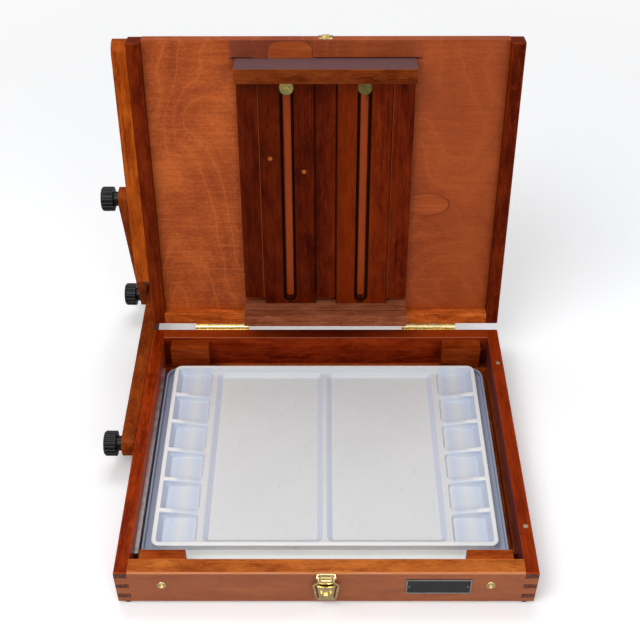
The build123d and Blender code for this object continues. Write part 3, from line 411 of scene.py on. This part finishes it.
def ply(name, colour):
    """Rotary-cut plywood: the swirls are the level lines of a slow noise.

    Only its inner face has the strip above the bar, the painted shadow line in the gap above the bar,
    the repairs, and the ply seen through the slots painted lighter as painted light.
    """
    g = Graph(name)
    place = g.coords(OPEN_DEG, (1, 0.5, 1))
    field = g.noise(place, 5.5, 2, 0.4, 0.5)
    rise = g.math("ADD", field, g.math("MULTIPLY", g.noise(place, 40, 3, 0.5), 0.03))
    swirl = g.math("SINE", g.math("MULTIPLY", rise, 150))
    crest = g.math("POWER", g.math("MAXIMUM", swirl, 0.0), 9.0)
    fine = g.noise(g.coords(OPEN_DEG, (0.06, 1, 1)), 330, 4, 0.65)
    cloud = g.noise(place, 11, 4, 0.55, 0.6)
    tone = g.math("ADD", g.math("MULTIPLY", cloud, 0.6), g.math("MULTIPLY", fine, 0.4))
    flecks = g.noise(g.coords(OPEN_DEG, (0.5, 1, 1)), 480, 3, 0.65)
    base = g.ramp(tone, (0.39, deepen(colour, 0.66)), (0.5, colour), (0.61, deepen(colour, 1.3)))
    base = g.mix(g.math("MULTIPLY", crest, 0.34), base, deepen(colour, 1.6))
    base = g.mix(g.span(g.math("MULTIPLY", swirl, -1.0), 0.6, 1.0, 0, 0.2), base, deepen(colour, 0.55))
    base = g.mix(g.span(flecks, 0.54, 0.66, 0.0, 0.4), base, deepen(colour, 0.55))
    base = g.mix(g.span(flecks, 0.46, 0.36, 0.0, 0.4), base, deepen(colour, 1.5))
    across = g.split(g.coords())["X"]
    reach = lid_reach(g)
    base = g.mix(g.span(across, -0.05, 0.15, 0, 0.55), base, deepen(colour, 0.72))
    inner = g.span(g.facing(OPEN_DEG)["Z"], -0.5, -0.8)
    wide = g.math("MULTIPLY", inner, g.span(g.math("ABSOLUTE", across), *STRIP_HALF_W))
    strip = g.math("MULTIPLY", g.span(reach, *STRIP_START_S), wide)
    strip = g.math("MULTIPLY", strip, g.span(across, -0.02, -0.01, 0.75, 0.35))
    base = g.mix(strip, base, STRIP_STAIN)
    # Painted shadow line in the gap above the top bar.
    above = g.math("GREATER_THAN", reach, BAR_TOP_S - 0.001)
    below = g.math("LESS_THAN", reach, BAR_TOP_S + 0.0009)
    line = g.math("MULTIPLY", above, below)
    broken = g.math("MAXIMUM", g.span(across, -0.074, -0.076), g.span(across, -0.013, -0.011))
    base = g.mix(g.math("MULTIPLY", g.math("MULTIPLY", line, broken), wide), base, BAR_GAP_SHADOW)
    outside = base
    for repair in REPAIRS:
        base = veneer(g, base, colour, *repair)
    # Painted light on the ply seen through the slots.
    slot = g.math("ABSOLUTE", g.math("SUBTRACT", g.math("ABSOLUTE", across), SLOT_X))
    under = g.math("MULTIPLY", g.span(slot, *SLOT_HALF_W, 0, 0.75), g.span(reach, *SLOT_END_S))
    base = g.mix(under, base, SLOT_PLY_LIT)
    base = g.mix(inner, outside, base)
    rough = g.span(fine, 0.3, 0.7, 0.36, 0.5)
    height = g.math("ADD", g.math("MULTIPLY", fine, 0.5), g.math("MULTIPLY", swirl, 0.06))
    g.shade(base, rough, g.bump(height, 0.0001, 0.5), level=0.25)
    return g.mat


def veneer(g, base, colour, light, x, reach, half_x, half_y, square):
    """An oval or squarer veneer repair with a thin dark seam."""
    across = g.split(g.coords())["X"]
    u = g.math("DIVIDE", g.math("ABSOLUTE", g.math("SUBTRACT", across, x)), half_x)
    v = g.math("DIVIDE", g.math("ABSOLUTE", g.math("SUBTRACT", lid_reach(g), reach)), half_y)
    radius = g.math("ADD", g.math("POWER", u, square), g.math("POWER", v, square))
    inside = g.span(radius, 1.02, 0.98)
    seam = g.math("MULTIPLY", g.span(radius, 1.16, 1.04), g.span(radius, 0.9, 0.98))
    grain = g.noise(g.coords(OPEN_DEG, (0.06, 1, 1)), 200, 4, 0.6)
    inlay = g.ramp(grain, (0.4, deepen(colour, 0.8 * light)), (0.6, deepen(colour, 1.12 * light)))
    patched = g.mix(g.math("MULTIPLY", inside, 0.85), base, inlay)
    return g.mix(g.math("MULTIPLY", seam, 0.6), patched, deepen(colour, 0.35))


# ---- metal, plastic and rubber -----------------------------------------------------


def metal(name, colour, rough_low, rough_high, stain=None, patch=None):
    """Metal with fine scratches and cloudy polish, and stained patches where stain is given."""
    g = Graph(name)
    place = g.coords()
    cloud = g.noise(place, 130, 4, 0.6, 0.5)
    fine = g.noise(g.coords(0, (1, 0.12, 1)), 2600, 3, 0.7)
    base = g.ramp(cloud, (0.35, tint(colour, 0.82)), (0.65, tint(colour, 1.12)))
    if stain:
        base = g.mix(g.span(cloud, 0.48, 0.62, 0, 0.75), base, stain)
    if patch:
        base = patch(g, base)
    uneven = g.math("ADD", cloud, g.math("MULTIPLY", fine, 0.3))
    rough = g.span(uneven, 0.45, 0.85, rough_low, rough_high)
    g.shade(base, rough, g.bump(fine, 0.00002, METAL_SCRATCH, 0.0003), metal=1.0)
    return g.mat


def tarnish(g, base):
    """Pitted brass. The right bolt's head is the darker one."""
    across = g.split(g.coords())["X"]
    pits = g.noise(g.coords(), 900, 3, 0.6)
    base = g.mix(g.span(pits, 0.45, 0.6, 0.0, 0.7), base, PITS)
    return g.mix(g.span(across, -0.02, 0.02, 0, 0.65), base, DULL_BRASS)


def plastic(name, colour, rough_low, rough_high, texture=0.00003, grain=1200, level=0.5,
            soften=0.0008, patch=None):
    """Moulded plastic or rubber with a fine grain and light scuffs."""
    g = Graph(name)
    place = g.coords()
    cloud = g.noise(place, 18, 4, 0.6, 0.4)
    fine = g.noise(place, grain, 2, 0.6)
    scuff = g.noise(g.coords(0, (1, 0.3, 1)), 240, 5, 0.7, 1.2)
    base = g.ramp(cloud, (0.3, tint(colour, 0.98)), (0.7, tint(colour, 1.02)))
    if patch:
        base = patch(g, base)
    uneven = g.math("ADD", g.math("MULTIPLY", scuff, 0.7), g.math("MULTIPLY", fine, 0.3))
    rough = g.span(uneven, 0.35, 0.65, rough_low, rough_high)
    g.shade(base, rough, g.bump(fine, texture, 0.4, soften), level=level)
    return g.mat


def palette_tone(g, base):
    """Painted bluish shade on the sloping walls and in the wells, darker away from each well's middle,
    and a painted highlight on top of the rim and the ridges.
    """
    up = g.facing()["Z"]
    height = g.split(g.coords())["Z"]
    across = g.math("ABSOLUTE", g.split(g.coords())["X"])
    beside = g.math("ABSOLUTE", g.math("SUBTRACT", across, WELL_MIDDLE_X))
    well = g.ramp(g.span(beside, 0.0, 0.014), (0.15, WELL_MIDDLE), (0.75, WELL_EDGE_SHADE))
    base = g.mix(g.span(across, WELLS_X, WELLS_X + 0.006, 0, 0.75), base, well)
    sideways = g.span(g.math("ABSOLUTE", g.facing()["X"]), 0.1, 0.4, 0.3, 1.0)
    slope = g.math("MULTIPLY", g.span(up, 0.995, 0.9, 0, 0.8), sideways)
    base = g.mix(slope, base, PALETTE_WALL_SHADE)
    high = g.span(height, PALETTE_TOP - 0.0022, PALETTE_TOP - 0.0012)
    top = g.math("MULTIPLY", high, g.span(up, 0.6, 0.9))
    return g.mix(g.math("MULTIPLY", top, 0.9), base, PALETTE_RIM_HIGHLIGHT)


def cover_tone(g, base):
    """Painted shade: blue-grey at the sides, paler towards the front."""
    axes = g.split(g.coords())
    outward = g.span(g.math("ABSOLUTE", axes["X"]), 0.166, 0.170)
    side = g.math("MULTIPLY", outward, g.span(axes["Y"], -0.146, -0.138))
    return g.mix(side, base, COVER_SIDE_SHADE)


def plate():
    """Black plate with a bright border, which stands further out."""
    g = Graph("blank_plate_metal")
    axes = g.split(g.node("TexCoord").outputs["Object"])
    fine = g.noise(g.coords(0, (0.06, 1, 1)), 2400, 3, 0.6)
    border = g.span(axes["Y"], Y_FRONT - 0.00085, Y_FRONT - 0.00095)
    black = g.ramp(fine, (0.3, (0.012, 0.012, 0.013)), (0.7, (0.03, 0.03, 0.032)))
    bright = g.ramp(fine, (0.3, (0.5, 0.5, 0.5)), (0.7, (0.75, 0.75, 0.75)))
    tone = g.mix(border, black, bright)
    rough = g.span(fine, 0.3, 0.7, 0.22, 0.38)
    shader = g.shade(tone, rough, g.bump(fine, 0.00002, METAL_SCRATCH, 0.0002))
    g.put(border, shader.inputs["Metallic"])
    return g.mat


# Colours of the woods, linear.
RIM_TONE = (0.40, 0.089, 0.012)
FRONT_BLOCK = (0.31, 0.046, 0.0035)
BACK_BLOCK = (0.23, 0.031, 0.0035)
SIDE = (0.31, 0.031, 0.0015)
INNER = (0.25, 0.024, 0.0033)
PLY = (0.41, 0.074, 0.0095)
STILE = (0.15, 0.0145, 0.0012)
BOTTOM_RAIL = (0.56, 0.11, 0.015)
SIDE_RAIL = (0.33, 0.052, 0.0033)
LEDGE = (0.25, 0.062, 0.024)
BAR = (0.165, 0.027, 0.0036)
BOARD = (0.134, 0.012, 0.0009)
SLAT = (0.125, 0.011, 0.0011)
ARM = (0.22, 0.0325, 0.0026)

BRASS = metal("brass_polished", (0.95, 0.77, 0.40), 0.14, 0.3)
OLD_BRASS = metal("brass_aged", (0.86, 0.68, 0.22), 0.4, 0.62, stain=(0.36, 0.36, 0.16), patch=tarnish)
PIN = metal("pin_aged", (0.30, 0.25, 0.16), 0.4, 0.6)
STEEL = metal("steel_zinc", (0.62, 0.62, 0.63), 0.22, 0.4)
STRIP = metal("strip_aluminium", (0.40, 0.39, 0.40), 0.3, 0.5)
KNOB = plastic("knob_black", (0.006, 0.006, 0.0065), 0.22, 0.36, level=0.22, soften=0.0003)
PALETTE = plastic("palette_white", (0.695, 0.70, 0.70), 0.26, 0.32, texture=0.000002, patch=palette_tone)
COVER = plastic("cover_pale_grey", (0.88, 0.89, 0.86), 0.3, 0.45, texture=0.000008, patch=cover_tone)
RUBBER = plastic("foot_rubber", (0.02, 0.02, 0.021), 0.6, 0.8, texture=0.00008, grain=900)

MATERIALS = {
    wood("case_front_wood", RIM_TONE, "x", patch=case_front_sheen): ["case_front"],
    wood("case_back_wood", INNER, "x", patch=back_tone): ["case_back"],
    wood("case_side_wood", SIDE, "y", patch=side_tone): ["case_left_side", "case_right_side"],
    wood("strip_wood", (0.10, 0.015, 0.003), "y", edge=3.0): ["guide_strip_right"],
    wood("front_block_wood", FRONT_BLOCK, "x"): ["front_corner_blocks", "cover_cleats"],
    wood("back_block_wood", BACK_BLOCK, "x"): ["back_corner_blocks"],
    wood("floor_wood", PLY, "x", depth=0.7): ["case_floor"],
    wood("stile_wood", STILE, "y", turn_deg=OPEN_DEG): ["lid_left_stile", "lid_right_stile"],
    wood("side_rail_wood", SIDE_RAIL, "y", turn_deg=OPEN_DEG, wear_and_highlight=0.4): ["lid_side_rail"],
    wood("lid_rail_wood", BOTTOM_RAIL, "x"): ["lid_bottom_rail"],
    wood("ledge_wood", LEDGE, "x", edge=1.9): ["canvas_ledge"],
    wood("bar_wood", BAR, "x", streak=1.4, edge=2.2, patch=bar_sheen): ["mast_top_bar"],
    wood("board_wood", BOARD, "y", turn_deg=OPEN_DEG, depth=0.42, streak=1.3, patch=board_tone):
        ["mast_left_board", "mast_right_board"],
    wood("slat_wood", SLAT, "y", turn_deg=OPEN_DEG, streak=1.2, patch=slat_tone): ["guide_slats"],
    wood("arm_wood", ARM, "y", turn_deg=30, wear_and_highlight=0.3): ["arm_lower", "arm_upper"],
    ply("lid_ply", PLY): ["lid_panel"],
    OLD_BRASS: ["mast_bolts"],
    PIN: ["rim_pins"],
    STEEL: ["case_arm_bolt", "elbow_bolt", "lid_arm_bolt", "plate_pins"],
    STRIP: ["guide_strip_left"],
    plate(): ["blank_plate"],
    KNOB: ["knob_lid", "knob_elbow", "knob_case", "mast_nut_left", "mast_nut_right"],
    PALETTE: ["palette_tray"],
    COVER: ["palette_cover"],
    RUBBER: ["rubber_feet"],
}

for node in frame["nodes"].values():
    node.data.materials.clear()
    node.data.materials.append(BRASS)
for material, names in MATERIALS.items():
    for name in names:
        frame["nodes"][name].data.materials[0] = material


# ---- floor, light and camera -----------------------------------------------------------


def floor():
    """White paper. The camera sees it lighter, fading to white, and polished surfaces see it darker."""
    bpy.ops.mesh.primitive_plane_add(size=FLOOR_SIZE, location=(0, 0, FLOOR_Z))
    plane = bpy.context.object
    plane.name = "floor"
    g = Graph("floor_white")
    path = g.node("LightPath")
    fibre = g.noise(g.coords(), 900, 2, 0.6)
    paper = g.ramp(fibre, (0.3, (0.80, 0.80, 0.80)), (0.7, (0.84, 0.84, 0.84)))
    seen = g.ramp(fibre, (0.3, (1.17, 1.17, 1.17)), (0.7, (1.19, 1.19, 1.19)))
    tone = g.mix(path.outputs["Is Camera Ray"], paper, seen)
    tone = g.mix(path.outputs["Is Glossy Ray"], tone, (0.4, 0.4, 0.4))
    lit = g.node("BsdfDiffuse")
    g.put(tone, lit.inputs["Color"])
    glow = g.node("Emission")
    g.paint(WHITE, glow.inputs["Color"])
    axes = g.split(g.coords())
    along, aside = (g.math("MULTIPLY", axes[name], axes[name]) for name in "XY")
    away = g.math("ADD", along, aside)
    glowing = g.span(away, LIFT_FROM, LIFT_FULL, FLOOR_LIFT, 1.0)
    lift = g.math("MULTIPLY", path.outputs["Is Camera Ray"], glowing)
    blend = g.node("MixShader")
    g.put(lift, blend.inputs[0])
    g.tree.links.new(lit.outputs[0], blend.inputs[1])
    g.tree.links.new(glow.outputs[0], blend.inputs[2])
    g.tree.links.new(blend.outputs[0], g.out.inputs[0])
    plane.data.materials.append(g.mat)


def world():
    """Plain soft light, white to the camera and dim near the horizon in reflections."""
    made = bpy.data.worlds.new("studio")
    made.use_nodes = True
    scene.world = made
    nodes = made.node_tree.nodes
    nodes.clear()
    link = made.node_tree.links.new
    path = nodes.new("ShaderNodeLightPath")

    def plain(colour, strength):
        shader = nodes.new("ShaderNodeBackground")
        shader.inputs[0].default_value = (*colour, 1)
        shader.inputs[1].default_value = strength
        return shader

    def choose(ray, low, high):
        blend = nodes.new("ShaderNodeMixShader")
        link(path.outputs[ray], blend.inputs[0])
        link(low.outputs[0], blend.inputs[1])
        link(high.outputs[0], blend.inputs[2])
        return blend

    soft = plain((0.93, 0.96, 1.0), 0.36)
    dim = plain(WHITE, 1.0)
    way = nodes.new("ShaderNodeTexCoord")
    parts = nodes.new("ShaderNodeSeparateXYZ")
    link(way.outputs["Generated"], parts.inputs[0])
    above = nodes.new("ShaderNodeMapRange")
    link(parts.outputs["Z"], above.inputs["Value"])
    for key, value in (("From Min", 0.05), ("From Max", 0.75), ("To Min", 0.12), ("To Max", 1.0)):
        above.inputs[key].default_value = value
    link(above.outputs[0], dim.inputs[1])
    white = plain(WHITE, 1.0)
    out = nodes.new("ShaderNodeOutputWorld")
    seen = choose("Is Camera Ray", choose("Is Glossy Ray", soft, dim), white)
    link(seen.outputs[0], out.inputs[0])


def lamp(name, place, aim, size, power):
    """A rectangular area lamp that looks from place to aim."""
    data = bpy.data.lights.new(name, "AREA")
    data.shape = "RECTANGLE"
    data.size, data.size_y = size
    data.energy = power
    made = bpy.data.objects.new(name, data)
    scene.collection.objects.link(made)
    made.location = place
    made.rotation_euler = (Vector(aim) - Vector(place)).to_track_quat("-Z", "Y").to_euler()


def camera():
    """The photograph's view: focal length, pitch, yaw and roll fitted to its straight edges."""
    pitch, yaw, roll = radians(42.55), radians(-0.2232), radians(-0.175)
    ahead = Vector((sin(yaw) * cos(pitch), cos(yaw) * cos(pitch), -sin(pitch)))
    right = Vector((cos(yaw), -sin(yaw), 0))
    up = right.cross(ahead)
    across = cos(roll) * right + sin(roll) * up
    upward = cos(roll) * up - sin(roll) * right
    data = bpy.data.cameras.new("camera")
    data.sensor_width = 36.0
    data.lens = 60.4
    made = bpy.data.objects.new("camera", data)
    scene.collection.objects.link(made)
    turn = Matrix((across, upward, -ahead)).transposed().to_4x4()
    place = (-0.00276, -0.74586, 0.8990)
    made.matrix_world = Matrix.Translation(place) @ turn
    scene.camera = made


floor()
world()
lamp("key", place=(-0.8, -0.85, 1.8), aim=(0, 0.05, 0.1), size=(1.3, 1.0), power=19)
lamp("top", place=(-0.15, 0.75, 2.0), aim=(0, -0.05, 0.0), size=(1.4, 0.7), power=10.5)
lamp("fill", place=(0.9, -1.5, 1.0), aim=(0, 0, 0.1), size=(1.0, 1.0), power=9)
camera()
scene.view_settings.view_transform = "Standard"
